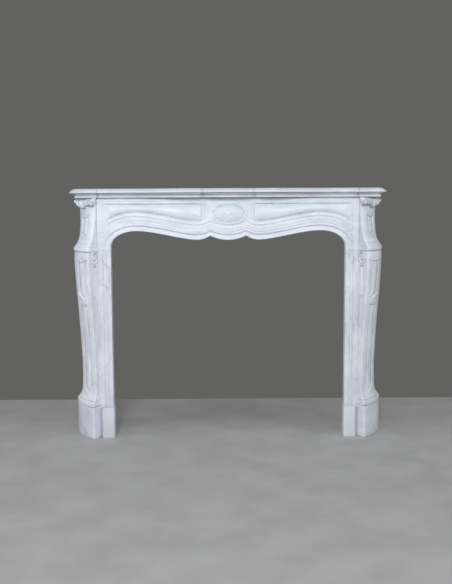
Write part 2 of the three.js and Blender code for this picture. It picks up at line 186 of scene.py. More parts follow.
def shown(name, bm, stone, node, crease=38):
    """The finished piece: it stands in for its CAD node, which is hidden, hangs from the root body and wears
    its stone.
    """
    bmesh.ops.recalc_face_normals(bm, faces=bm.faces)
    mesh = bpy.data.meshes.new(name)
    bm.to_mesh(mesh)
    bm.free()
    mesh.materials.append(stone)
    mesh.shade_smooth()
    mesh.set_sharp_from_angle(angle=math.radians(crease))
    piece = bpy.data.objects.new(name, mesh)
    bpy.context.scene.collection.objects.link(piece)
    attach(piece, "root")
    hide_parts(node)
    print(name, "has", sum(len(p.vertices) - 2 for p in mesh.polygons), "triangles")


def waver(x, y, z, size, height):
    """The slight unevenness that hand tools leave, as a height in millimetres."""
    return noise.noise(Vector((x, y, z)) / size) * height


print("a film of dust holds", HANDLED)

# %% [markdown]
# ## The stone
# The mantel is of Carrara marble, sawn, carved, and rubbed with grit until it is honed: a fine grained
# calcite with a bluish white ground, cloudy grey patches and thin grey veins that run with the bed of the
# block. Honing leaves a soft sheen, with no mirror in it. Calcite's refractive index is about 1.55, and a
# honed face has a roughness near 0.4. Veins are lines where a noise crosses its middle value, which gives
# long wandering lines at any size. They are broken by a second noise. Dust, and shade painted in the
# hollows, under overhangs and on some faces of the right-hand pieces, come from the attribute that the
# carving wrote. Blocks of one quarry differ, so there are four stones: a clean white one for the shelf,
# the frieze and the upper blocks, a veined one for the legs and the slips, a bluish one for the feet and a
# cream one for the small plinths.

# %% Colours and nodes
def from_hex(code):
    """An sRGB hex colour as linear numbers."""
    parts = [int(code[k:k + 2], 16) / 255 for k in (1, 3, 5)]
    return [c / 12.92 if c <= 0.04045 else ((c + 0.055) / 1.055) ** 2.4 for c in parts] + [1]


def add(tree, kind, links=None, **settings):
    """Adds a node. Settings are its own values, and links fill its sockets with values or other sockets."""
    node = tree.nodes.new(kind)
    for name, value in settings.items():
        setattr(node, name, value)
    for socket, value in (links or {}).items():
        if isinstance(value, bpy.types.NodeSocket):
            tree.links.new(value, node.inputs[socket])
        else:
            node.inputs[socket].default_value = value
    return node


def mixed(tree, share, a, b):
    """A colour between a and b."""
    return add(tree, "ShaderNodeMix", {0: share, 6: a, 7: b}, data_type="RGBA").outputs[2]


def ranged(tree, value, low, high, to_low=0.0, to_high=1.0):
    """A value's range from low to high, stretched to another range."""
    node = add(tree, "ShaderNodeMapRange",
               {"Value": value, "From Min": low, "From Max": high, "To Min": to_low, "To Max": to_high})
    return node.outputs["Result"]


print("linear white of #808080:", round(from_hex("#808080")[0], 3))

# %% Honed Carrara marble
GRAIN = 1 / 0.0016      # grains of calcite are under 1 mm; drawn at 1.6 mm so that they show
CLOUD = 1 / 0.11        # grey clouds are about 110 mm across
VEIN = 1 / 0.16         # a vein wanders over about 160 mm
STREAK = 1 / 0.012      # fine lines of the bed lie about 12 mm apart
FLECK = 1 / 0.03        # dark flecks are found every 30 mm or so
GRAIN_DEEP = 0.0003     # metres from the top of a grain to the bottom
CALCITE_IOR = 1.55
# The grey of dust, and of the shade painted in hollows and under overhangs.
DUST_AND_SHADE_GREY = "#8d8c8e"


def honed_marble(name, ground, cloud, vein, bed, veining, roughness):
    """Carrara marble. bed stretches the pattern along the block's bed, and veining is how much vein shows."""
    material = bpy.data.materials.new(name)
    material.use_nodes = True
    tree = material.node_tree
    shader = tree.nodes["Principled BSDF"]
    here = add(tree, "ShaderNodeTexCoord").outputs["Object"]
    laid = add(tree, "ShaderNodeMapping", {"Vector": here, "Scale": bed}).outputs["Vector"]
    drift = add(tree, "ShaderNodeTexNoise", {"Vector": laid, "Scale": VEIN * 0.6, "Detail": 3.0})
    bent = add(tree, "ShaderNodeVectorMath", {0: drift.outputs["Color"], 1: (0.09, 0.09, 0.09)},
               operation="MULTIPLY").outputs[0]
    bent = add(tree, "ShaderNodeVectorMath", {0: laid, 1: bent}, operation="ADD").outputs[0]

    clouds = add(tree, "ShaderNodeTexNoise",
                 {"Vector": bent, "Scale": CLOUD, "Detail": 7.0, "Roughness": 0.62})
    colour = mixed(tree, ranged(tree, clouds.outputs["Fac"], 0.42, 0.68), from_hex(ground), from_hex(cloud))

    lines = add(tree, "ShaderNodeTexNoise", {"Vector": bent, "Scale": VEIN, "Detail": 9.0, "Roughness": 0.6})
    offset = add(tree, "ShaderNodeMath", {0: lines.outputs["Fac"], 1: 0.5}, operation="SUBTRACT").outputs[0]
    near = add(tree, "ShaderNodeMath", {0: offset}, operation="ABSOLUTE").outputs[0]
    thin = ranged(tree, near, 0.0, 0.022, 1.0, 0.0)
    breaks = add(tree, "ShaderNodeTexNoise", {"Vector": here, "Scale": VEIN * 1.7, "Detail": 2.0})
    kept = ranged(tree, breaks.outputs["Fac"], 0.45, 0.7)
    veins = add(tree, "ShaderNodeMath", {0: thin, 1: kept}, operation="MULTIPLY").outputs[0]
    veins = add(tree, "ShaderNodeMath", {0: veins, 1: veining}, operation="MULTIPLY").outputs[0]
    colour = mixed(tree, veins, colour, from_hex(vein))

    streaks = add(tree, "ShaderNodeTexNoise", {"Vector": bent, "Scale": STREAK, "Detail": 4.0})
    colour = mixed(tree, ranged(tree, streaks.outputs["Fac"], 0.5, 0.78, 0.0, 0.3 * veining), colour,
                   from_hex(vein))
    flecks = add(tree, "ShaderNodeTexNoise", {"Vector": here, "Scale": FLECK, "Detail": 3.0})
    colour = mixed(tree, ranged(tree, flecks.outputs["Fac"], 0.67, 0.76, 0.0, 0.45 * veining), colour,
                   from_hex(vein))

    # Dust and painted shade from the attribute, patchy with the clouds, grey the stone.
    held = add(tree, "ShaderNodeAttribute", attribute_name=DUST_AND_SHADE).outputs["Fac"]
    patchy = ranged(tree, clouds.outputs["Fac"], 0.3, 0.7, 0.55, 1.0)
    held = add(tree, "ShaderNodeMath", {0: held, 1: patchy}, operation="MULTIPLY").outputs[0]
    colour = mixed(tree, held, colour, from_hex(DUST_AND_SHADE_GREY))
    tree.links.new(colour, shader.inputs["Base Color"])

    grain = add(tree, "ShaderNodeTexNoise", {"Vector": here, "Scale": GRAIN, "Detail": 2.0})
    rough = ranged(tree, clouds.outputs["Fac"], 0.3, 0.7, roughness - 0.04, roughness + 0.08)
    tree.links.new(rough, shader.inputs["Roughness"])
    bump = add(tree, "ShaderNodeBump",
               {"Height": grain.outputs["Fac"], "Strength": 0.25, "Distance": GRAIN_DEEP})
    tree.links.new(bump.outputs["Normal"], shader.inputs["Normal"])
    shader.inputs["IOR"].default_value = CALCITE_IOR
    shader.inputs["Metallic"].default_value = 0
    return material


white_marble = honed_marble("honed_white_carrara_marble",
                            "#f1f6fc", "#e4eaf3", "#b0b8c4", (1, 1, 2.2), 0.5, 0.42)
grey_marble = honed_marble("honed_grey_veined_carrara_marble",
                           "#f0f3f8", "#d9dee6", "#a4abb6", (1.6, 1.6, 0.8), 0.65, 0.45)
bluish_marble = honed_marble("honed_bluish_carrara_marble",
                             "#e1e6ee", "#ccd2dc", "#99a0ab", (1.4, 1.4, 1), 0.6, 0.5)
cream_marble = honed_marble("honed_cream_carrara_marble",
                            "#d7dadd", "#cbced1", "#aeb0b1", (1, 1, 1), 0.35, 0.5)
print("stones:", [m.name for m in (white_marble, grey_marble, bluish_marble, cream_marble)])

# %% [markdown]
# ## The shelf
# A shelf like this one is a single slab. Its front is cut to a serpentine line, and then a moulding is run
# along it: a rounded nose on top, a sunk quirk, a flat fillet, a second quirk and a small ovolo. Over each
# leg and on each side of the middle bow the line breaks in a V-shaped notch. A sweep of the section along the
# line is what the mason does too, so the skin's columns follow the line, and its rows follow the section.

# %% Shelf line and section
SHELF_SIDE = 690
CORNER = 48             # how wide the rounded corner is
# Each notch: how far from the middle, and its depth at the nose and in the mouldings below
NOTCHES = ((110, 2.4, 4.0), (563.5, 3.6, 6.5))
# Stations of the line between the notches: x and y
SWEEP = ((110, -19), (143, -27), (190, -30), (243, -23), (301, -9), (354, 2), (412, 7), (474, 5), (528, 0),
         (563.5, 0), (642, 2))
NOTCH_STEPS = (-6, -4.5, -3, -1.6, -0.6, 0, 0.6, 1.6, 3, 4.5, 6)


def front_line(x):
    """y of the shelf's front over the right half, without the notches."""
    return -36 + 16 * (x / 105.5) ** 2 if x < 110 else reading(SWEEP, x, 1)


def shelf_line():
    """Points of the right half, from the middle to the back."""
    xs = sorted({round(3.5 * k, 2) for k in range(183)}
                | {at + step for at, _, _ in NOTCHES for step in NOTCH_STEPS})
    line = [(x, front_line(x)) for x in xs if x < SHELF_SIDE - CORNER]
    for k in range(15):
        turn = k / 14 * math.pi / 2
        line.append((SHELF_SIDE - CORNER + CORNER * math.sin(turn), 2 + 1.2 * CORNER * (1 - math.cos(turn))))
    return line + [(SHELF_SIDE, y) for y in (90, 140, 200, 260, BACK_Y)]


NOSE_DEEP, NOSE_BOTTOM, POINTED = 24, 1083, 1.45
NOSE = [(NOSE_DEEP * (1 - (1 - h ** POINTED) ** (1 / POINTED)), NOSE_BOTTOM + (MANTEL_TOP - NOSE_BOTTOM) * h)
        for h in [0.985, 0.95, 0.9, 0.82, 0.73, 0.63, 0.52, 0.41, 0.3, 0.2, 0.1, 0]]
SECTION = ([(36, 1100), (28, 1100)] + NOSE
           + [(0.5, 1082), (1.6, 1081.2), (3, 1081), (9, 1081), (18, 1081), (19.4, 1080.4), (16.6, 1079.4),
              (16.1, 1078.6), (16, 1077.4), (16.3, 1076.2), (17.6, 1075.4), (22, 1075), (25.4, 1074.4),
              (26.6, 1073.2), (26, 1071.6), (24.4, 1069.8), (22.8, 1067.6), (22, 1065.2), (21.8, 1063),
              (22.2, 1061.6), (23.4, SHELF_BOTTOM), (30, SHELF_BOTTOM), (36, SHELF_BOTTOM)])
half_line = shelf_line()
full_line = [(-x, y) for x, y in reversed(half_line[1:])] + half_line
print("shelf line:", len(full_line), "points; section:", len(SECTION), "points")


# %% Shelf
# Chips in the nose: x, y, z, how wide and how deep
CHIPS = ((-225, -26, 1097, 9, 5.0), (-34, -34, 1096, 7, 4.0), (318, -9, 1083, 6, 3.0), (-505, 2, 1082, 5, 2.6),
         (664, 8, 1090, 7, 2.6))


def shelf_point(i, j):
    """Columns go along the line, and the last is the first again, which closes the back.

    Rows go down the section."""
    inset, z = SECTION[j]
    i %= len(full_line)
    x, y = full_line[i]
    (x0, y0), (x1, y1) = full_line[max(i - 1, 0)], full_line[min(i + 1, len(full_line) - 1)]
    along = Vector((x1 - x0, y1 - y0)).normalized()
    out = Vector((along.y, -along.x))
    at_back = y >= BACK_Y
    dust_and_shade = 0.0
    # Painted shade in each notch, more where it is deep.
    for centre, at_nose, below in NOTCHES:
        near = hump(abs(x), centre, 2.6)
        depth = lerp(at_nose, below, smooth(inset, 2, 16))
        inset += near * depth
        dust_and_shade = max(dust_and_shade, near * 0.05 * depth)
    for cx, cy, cz, size, depth in CHIPS:
        away = (Vector((x, z)) - Vector((cx, cz))).length + abs(y - cy) * 0.3
        inset += depth * max(0, 1 - (away / size) ** 2) * (1 + waver(x, y, z, 2, 0.5))
    inset += waver(x, y, z * 2, 30, 0.35) + waver(x, y, z, 6, 0.12)
    # Painted shade in the quirk under the nose, in the second quirk and on the upper part of the ovolo, which
    # the nose overhangs; over it all a grey film of dust.
    dust_and_shade += 0.8 * smooth(inset, 6, 15) * level(z, 1080, 1081.5, 0.4) + 0.5 * level(z, 1072.5, 1075.4, 0.8)
    dust_and_shade += HANDLED + 0.14 + 0.3 * level(z, 1067.5, 1074, 1.5)
    return x - out.x * inset, BACK_Y if at_back else y - out.y * inset, z, min(dust_and_shade, 1)


shelf_bm = skin(len(full_line), len(SECTION) - 1, shelf_point)
shown("serpentine_shelf", shelf_bm, white_marble, "shelf", 42)

# %% [markdown]
# ## The frieze
# The frieze is one slab with an arched lower edge. Its carving follows the arch: a plain border, a thin double
# line, a reeded band with a bead and a deep quirk, and above it two swelling fields under a straight fillet.
# In the middle stands a shield with an oval boss. The skin's rows start at the arch and climb to the top or
# turn to the side, so every line that runs with the arch lies along a row and stays crisp.

# %% Arch
ARCH_PEAK = (402, 916)
ARCH_LOBE = (131, 877)
ARCH_CUSP = (78.5, 894.5)
ARCH_SPRING = 846
ARCH_MIDDLE = 876.2


def arch_edge():
    """Rows of x, z, part of the arch, and how far along the part, from the middle to the joint."""
    reach, corner = ARCH_PEAK[0] - ARCH_LOBE[0], HALF_OPENING - ARCH_PEAK[0]
    parts = (
        (((0, ARCH_MIDDLE), (ARCH_CUSP[0] / 2, ARCH_MIDDLE), ARCH_CUSP), 28),
        ((ARCH_CUSP, (ARCH_CUSP[0] + 28, ARCH_LOBE[1] + 0.5), ARCH_LOBE), 20),
        ((ARCH_LOBE, (ARCH_LOBE[0] + reach * 0.25, ARCH_LOBE[1] - 1),
          (ARCH_LOBE[0] + reach * 0.68, ARCH_PEAK[1]), ARCH_PEAK), 90),
        ((ARCH_PEAK, (ARCH_PEAK[0] + corner * 0.55, ARCH_PEAK[1]),
          (HALF_OPENING, lerp(ARCH_SPRING, ARCH_PEAK[1], 0.6)), (HALF_OPENING, ARCH_SPRING)), 70),
    )
    rows = [(0, ARCH_MIDDLE, 0, 0)]
    for part, (controls, count) in enumerate(parts):
        rows += [(p.x, p.y, part, (k + 1) / count) for k, p in enumerate(bezier(controls, count))]
    return rows + [(HALF_OPENING, lerp(ARCH_SPRING, SLIP_JOINT + JOINT, k / 4), 4, 1) for k in range(1, 5)]


def outer_end(x, z, part, share):
    """Where the rib that starts at a point of the arch leaves the frieze: at its top or at its side."""
    if part < 3:
        return x, UNDER_SHELF
    if part == 4:
        return FRIEZE_SIDE, z
    if share <= 0.5:
        return lerp(ARCH_PEAK[0], FRIEZE_SIDE, share * 2), UNDER_SHELF
    down = share * 2 - 1
    return FRIEZE_SIDE, lerp(UNDER_SHELF, ARCH_SPRING, 1 - (1 - down) ** 1.6)


half_arch = arch_edge()
arch = [(-1, row) for row in reversed(half_arch[1:])] + [(1, row) for row in half_arch]
print("arch:", len(arch), "columns across the opening")

# %% Frieze carving
FASCIA = 1034           # lower edge of the flat band under the shelf
FIELD_END = 533         # the fields stop short of the legs
SHIELD = 108            # half the width of the shield in the middle
SHIELD_LINES = ((113, 1.0), (103, 0.7), (94, 0.55), (86, 0.4))      # x and strength of its flank lines
# Distances from the arch: the end of the border, the lines, the bead, the quirk and the field's start
BORDER, FIRST_LINE, SECOND_LINE, FINE_LINES = 27, 21.3, 34.4, (43, 61.5)
BEAD, QUIRK, FIELD = 68.5, 80, 82
EAR_LINE = 542.5        # x of the line beside the right-hand end of the field
FILLET = 1040.5         # z of the fine line in the flat band
ARRIS_EASE = 1.6        # the arch's edge is rubbed round this far
near_rows = [0, 0.6, 1.6, 4, 8, 12, 15, 17, 18.2, 19.4, 20.6, 21.8, 23, 24.2, 25.4, 26.8, 28.5, 30.5, 31.9,
             33.1, 34.3, 35.5, 36.8, 38.5, 40.5, 42, 43.5, 45, 47, 50, 53.5, 57, 59.5, 61, 62.5, 64, 65.5,
             67, 68.5, 70, 71.5, 73, 74.5, 76, 77.3, 78.5, 79.7, 81, 82.5, 84.5, 87, 90, 94, 98]
top_rows = [1030, 1031.3, 1032.4, 1033.4, 1034.4, 1035.4, 1036.6, 1038, 1040, 1044, 1049, 1053, 1056, 1058.5,
            UNDER_SHELF]
MIDDLE_ROWS = 46
face_rows = len(near_rows) + MIDDLE_ROWS + len(top_rows) - 1
print("rows up the frieze's face:", face_rows)


def frieze_carving(d, x, z, field):
    """Height over the slab, and dust with painted shade, at distance d from the arch; field runs 0 to 1 up the
    field.
    """
    ax = abs(x)
    right = x > 0
    in_field = 1 - smooth(ax, FIELD_END - 8 + 6 * right, FIELD_END + 2 + 6 * right)
    joint = 0.22 * hump(ax, FRIEZE_SIDE, 3.5) * right
    kept = smooth(z, SLIP_JOINT + 10, SLIP_JOINT + 84)
    line = hump(d, FIRST_LINE, 2.0) * kept
    height = lerp(1.2, 4.5 * smooth(d, 20.5, 24.5), kept) - 2.4 * line + 0.7 * hump(d, 26.2, 2.0) * kept
    lower = 1 - smooth(ax, HALF_OPENING + 4, HALF_OPENING + 18 + 14 * right)
    second = (1.3 if right else 0.3) * hump(d, SECOND_LINE, 1.7)
    fine = second + 0.5 * hump(d, FINE_LINES[0], 1.8) + 0.55 * hump(d, FINE_LINES[1], 1.9)
    height += lower * (-1.5 * fine + 1.4 * level(d, 30, 58, 6) + 2.6 * hump(d, BEAD, 4.6))
    beside_ear = hump(ax, EAR_LINE, 3) * right * level(z, SLIP_JOINT + 8, FASCIA, 14)
    height -= 0.9 * beside_ear
    quirk = hump(d, QUIRK, 4.4) * in_field * smooth(ax, SHIELD + 2, SHIELD + 10)
    height -= 3.1 * quirk
    # Painted shade in the lines, in the quirk and in the line beside the right ear, a light grey over the
    # reeded band, and a dark joint on the right.
    dust_and_shade = (0.3 * line + lower * (0.2 * fine + 0.08 * level(d, 45, 60, 4)) + 0.18 * quirk
            + 0.22 * beside_ear + joint)
    if z > FASCIA - 2.5:
        step = smooth(z, FASCIA - 0.6, FASCIA + 1.2)
        off_shield = smooth(ax, SHIELD + 4, SHIELD + 14)
        groove = hump(z, FASCIA - 1.4, 1.9) * in_field * off_shield
        top = 4.5 + 1.5 * off_shield
        height = lerp(height, top, step) - 5.5 * groove - 1.2 * hump(z, FILLET, 1.4) * in_field
        # Painted shade in the groove under the fascia, and the shelf's shadow painted on the top of the frieze.
        return height, 0.45 * groove + joint + 0.8 * smooth(z, 1049, UNDER_SHELF) ** 1.4
    if d > FIELD:
        swell = 11 * math.sin(math.pi * min(max(field, 0), 1) ** 0.82) ** 0.75 - 6
        height += swell * level(ax, SHIELD + 8, FIELD_END - 14, 9)
    if d > 74 and ax < SHIELD + 8:
        flank = sum(part * hump(ax, at, 1.9) for at, part in SHIELD_LINES)
        upper = smooth(z, 952, 966)
        height -= 2.2 * flank * upper
        # Painted shade in the shield's flank lines.
        dust_and_shade += 0.25 * flank * upper
    return height, dust_and_shade


def frieze_point(i, j):
    """Columns follow the arch. Rows climb the face; the first and the last two close the slab behind."""
    side, (x0, z0, part, share) = arch[i]
    ex, ez = outer_end(x0, z0, part, share)
    back = SLIP_FRONT + SLAB
    if j == 0 or j > face_rows:
        at_arch = j == 0 or j > face_rows + 1
        x, z = (x0, z0) if at_arch else (ex, ez)
        return side * x, back, z, 0
    length = math.hypot(ex - x0, ez - z0)
    j -= 1
    squeeze = min(1, (length * 0.93 - BORDER) / (near_rows[-1] - BORDER))
    if j < len(near_rows):
        d = near_rows[j] if near_rows[j] <= BORDER else BORDER + (near_rows[j] - BORDER) * squeeze
    else:
        last = BORDER + (near_rows[-1] - BORDER) * squeeze
        climb = j - len(near_rows) + 1
        slope = length / max(ez - z0, 1) if part < 3 or share <= 0.5 and part == 3 else None
        corner_share = (top_rows[0] - ARCH_PEAK[1]) / (UNDER_SHELF - ARCH_PEAK[1])
        first_top = (top_rows[0] - z0) * slope if slope else lerp(last, length, corner_share)
        if climb <= MIDDLE_ROWS:
            d = lerp(last, first_top, climb / MIDDLE_ROWS)
        else:
            k = climb - MIDDLE_ROWS
            d = (top_rows[k] - z0) * slope if slope else lerp(first_top, length, k / (len(top_rows) - 1))
    x, z = lerp(x0, ex, d / length), lerp(z0, ez, d / length)
    field = (d - FIELD) / max(length - (UNDER_SHELF - FASCIA) - FIELD, 1)
    height, dust_and_shade = frieze_carving(d, side * x, z, field)
    round_over = ARRIS_EASE * (1 - min(d / ARRIS_EASE, 1)) ** 2
    height += waver(side * x, z, 0, 26, 0.3) + waver(side * x, z, 5, 7, 0.12) - round_over
    return side * x, SLIP_FRONT - height, z, min(dust_and_shade + HANDLED, 1)


frieze_bm = skin(len(arch) - 1, face_rows + 2, frieze_point)
print("frieze slab:", len(frieze_bm.verts), "points")

# %% [markdown]
# ## The oval boss
# The boss is a shallow dome in a rounded ring, like a cabochon in its setting. A lathe can't turn an oval,
# and a carver cuts one by eye. Here `spin` turns a section to a round boss, and `scale` then presses it to
# the oval. The ring gets narrower above and below than at the sides, which suits a flat oval.

# %% Oval boss and ring
OVAL_X, OVAL_Z, OVAL_WIDE, OVAL_HIGH = 3.5, 990.5, 66.5, 39.3
DOME_FOOT, DOME_RISE = 3.5, 16
AXIS_WELD = 0.01        # millimetres; the points that meet on the axis are one
OVAL_COLUMNS = 96


def turned_oval(section):
    """A section of (radius, height over the slab) spun round, squashed to the oval and set on the frieze."""
    bm = bmesh.new()
    points = [bm.verts.new((radius, -height, 0)) for radius, height in section]
    edges = [bm.edges.new(pair) for pair in zip(points, points[1:])]
    bmesh.ops.spin(bm, geom=points + edges, cent=(0, 0, 0), axis=(0, 1, 0), angle=2 * math.pi,
                   steps=OVAL_COLUMNS, use_merge=True, dvec=(0, 0, 0))
    bmesh.ops.remove_doubles(bm, verts=bm.verts, dist=AXIS_WELD)
    bmesh.ops.scale(bm, vec=(1, 1, OVAL_HIGH / OVAL_WIDE), verts=bm.verts)
    for vert in bm.verts:
        vert.co = placed(vert.co.x + OVAL_X, vert.co.y + SLIP_FRONT, vert.co.z + OVAL_Z)
    bmesh.ops.recalc_face_normals(bm, faces=bm.faces)
    return bm


def add_to(target, part, dust_and_shade_of):
    """Copies part into target and gives its points dust and painted shade."""
    mesh = bpy.data.meshes.new("part")
    dust_and_shade = part.verts.layers.float.new(DUST_AND_SHADE)
    for vert in part.verts:
        vert[dust_and_shade] = dust_and_shade_of(vert.co)
    part.to_mesh(mesh)
    part.free()
    target.from_mesh(mesh)
    bpy.data.meshes.remove(mesh)


def oval_dust_and_shade(co):
    """Painted shade in the line between dome and ring, more of it below and on the upper right shoulder, over a
    grey film of dust.
    """
    across, up = (co.x / MM - OVAL_X) / OVAL_WIDE, (co.z / MM - OVAL_Z) / OVAL_HIGH
    under, shoulder = max(0, -up), hump(math.hypot(across - 0.7, up - 0.75), 0, 0.6)
    return HANDLED + (0.04 + 0.22 * under + 0.45 * shoulder) * hump(math.hypot(across, up), 1.015, 0.03)


dome = [(0, 0), (OVAL_WIDE, 0), (OVAL_WIDE, DOME_FOOT)]
dome += [(OVAL_WIDE * math.cos(a), DOME_FOOT + DOME_RISE * math.sin(a) ** 0.9)
         for a in [math.pi / 2 * k / 18 for k in range(1, 18)]]
dome += [(0, DOME_FOOT + DOME_RISE)]
ring = [(OVAL_WIDE - 3, 0), (OVAL_WIDE - 3, 7), (OVAL_WIDE + 1.8, 7), (OVAL_WIDE + 1.8, 7.8)]
ring += [(OVAL_WIDE + 7.4 - 5.6 * math.cos(a), 8 + 4 * math.sin(a))
         for a in [math.pi * k / 8 for k in range(1, 8)]]
ring += [(OVAL_WIDE + 13, 7), (OVAL_WIDE + 13.4, 5.6), (OVAL_WIDE + 15.5, 5.6), (OVAL_WIDE + 16, 0),
         (OVAL_WIDE - 3, 0)]
for section in (dome, ring):
    add_to(frieze_bm, turned_oval(section), oval_dust_and_shade)
shown("arched_frieze", frieze_bm, white_marble, "frieze", 50)

# %% [markdown]
# ## Plans of legs, blocks and feet
# Seen from above, each leg is a wedge with its sharp edge to the front: an outer face that swings round to
# the side, and a narrower inner face that runs back to the slip. The same plan, with other numbers at each
# level, makes the leg, the block above it and the foot. A station is a share of the height, then the
# arris's distance from the frieze's side, its y, and the widest point's distance from that side.

# %% Plan and stations
LEG_STATIONS = (
    (0, 23.5, 1, 118), (0.012, 23.5, 0, 119), (0.023, 23.5, 0, 119), (0.032, 22, 3, 116),
    (0.039, 21, 6, 112), (0.054, 17.5, 14, 104), (0.079, 15, 18, 97), (0.142, 14, 19, 93.5),
    (0.229, 13.5, 18, 92.5), (0.302, 14, 16, 93.5), (0.405, 16, 11, 95.5), (0.511, 19.5, 5, 98.5),
    (0.628, 23.5, -1, 102), (0.733, 27.5, -7, 107), (0.884, 31.5, -12, 112.5), (0.96, 31.5, -13, 114.5),
    (1, 29.5, -11, 113.5))
BLOCK_STATIONS = (
    (0, 29.5, -12, 114.5), (0.025, 30.5, -14, 117.5), (0.064, 30.5, -14, 117.5), (0.089, 28.5, -11, 113.5),
    (0.119, 26.5, -8, 107.5), (0.157, 22.5, -3, 101.5), (0.221, 17.5, 3, 95), (0.327, 12.5, 9, 90.5),
    (0.475, 7.5, 14, 89), (0.624, 4.5, 17, 89), (0.772, 3.5, 18, 90.5), (1, 3.5, 18, 92))
LEG_HEIGHT = COLLAR_JOINT - JOINT - FOOT_JOINT
BLOCK_HEIGHT = UNDER_SHELF - COLLAR_JOINT


def faces_of(ax, ay, ox, inner_x, inner_y):
    """For each face a function that gives the point and the outward direction at a share of it.

    The outer face is a curve that leaves the arris at about forty degrees and turns nearly straight back."""
    w = ox - ax

    def outer(u):
        x = ax + w * (1.56 * u * (1 - u) + u * u)
        y = ay + w * (1.32 * u * (1 - u) + 1.6 * u * u)
        tangent = Vector((w * (1.56 - 1.12 * u), w * (1.32 + 0.56 * u))).normalized()
        return x, y, tangent.y, -tangent.x

    def inner(u):
        tangent = Vector((ax - inner_x, ay - inner_y)).normalized()
        return lerp(inner_x, ax, u), lerp(inner_y, ay, u), tangent.y, -tangent.x

    return {"outer": outer, "inner": inner}


# The columns round the plan: a face and a share of it, closer together at the arris, or a point behind
PLAN = [("inner", u) for u in [k / 26 for k in range(25)] + [0.945, 0.97, 0.99]]
PLAN += [("outer", u) for u in [0.004, 0.012, 0.025] + [0.04 + 0.96 * k / 66 for k in range(67)]]
PLAN += [("behind", k) for k in range(3)]
print("plan columns:", len(PLAN))


def carved_skin(side, rows, stations, bottom, height, inner_x, carving, eased):
    """A leg or a block: rows are shares of its height, and carving gives height, and dust with painted shade,
    on each face.

    eased is how far the arris is rubbed back, and over which share of the outer face."""
    def drawing(i, j):
        share = rows[j]
        arris, ay, widest = (reading(stations, share, column) for column in (1, 2, 3))
        ax, ox = FRIEZE_SIDE + arris, FRIEZE_SIDE + widest
        z = bottom + share * height
        face, u = PLAN[i % len(PLAN)]
        if face == "behind":
            x, y = ((ox - 1.5, lerp(ay + 1.6 * (ox - ax), LEG_BACK, 0.5)), (ox - 3, LEG_BACK),
                    (inner_x, LEG_BACK))[u]
            return side * x, y, z, 0
        x, y, out_x, out_y = faces_of(ax, ay, ox, inner_x, SLIP_FRONT)[face](u)
        rise, dust_and_shade = carving(face, u, share, side)
        uneven = waver(side * x, y, z, 24, 0.45) + waver(side * x, y, z, 7, 0.15)
        rise += uneven * smooth(u + (face == "outer"), 0, 0.1)
        rise -= eased[0] * (hump(u, 0, eased[1]) if face == "outer" else hump(u, 1, 1.5 * eased[1]))
        return side * (x + out_x * rise), y + out_y * rise, z, min(max(dust_and_shade, 0), 1)

    return skin(len(PLAN), len(rows) - 1, drawing)


# %% [markdown]
# ## The legs
# The outer face of a cabriole leg carries two long sunk panels with a rounded strip in each. The deep groove
# beside the strip curls in at its lower end, under a scalloped apron at the top and a leaf in the middle.
# The inner face has a scroll with an eye, a small bar under it and a stem that dies away. The foot ends in a
# hollow and two rounded mouldings.

# %% Leg, outer face
BARS = ((0.6505, 4.4), (0.6605, 1.6))       # the lines under the upper panel: share of the height, depth
FOLDS = ((0.697, 3.4), (0.07, 2.6))         # the folds of the two leaves: share of the height, crest


def mouldings(share):
    """The two fine lines that part the rounded mouldings above the joint of the foot."""
    line = 0.4 * hump(share, 0.0185, 0.0016) + hump(share, 0.0355, 0.0016)
    # The second value is painted shade in the lines.
    return -2.2 * line, 0.8 * line


def sunk_panel(u, share, low, high, curl, deep_at, thin_at):
    """The strip and its two grooves; curl is the share of the height over which the deep groove turns in."""
    turned = 1 - min(max((share - low) / curl, 0), 1)
    deep_at -= 0.24 * turned ** 1.4
    inside = level(share, low + 0.004, high, 0.006)
    deep = hump(u, deep_at, 0.05 - 0.012 * turned) * inside
    thin = hump(u, thin_at, 0.026) * level(share, low + curl * 0.9, high - 0.008, 0.006)
    strip = level(u, thin_at + 0.03, deep_at - 0.04, 0.03) * inside
    across = min(max((u - thin_at) / (deep_at - thin_at - 0.03), 0), 1)
    rounded = 1.6 * math.sin(math.pi * across) ** 0.7
    rise = -6.5 * deep - 1.8 * thin + strip * (rounded - 1.2)
    # Painted shade in the grooves.
    return rise, 0.9 * deep + 0.4 * thin


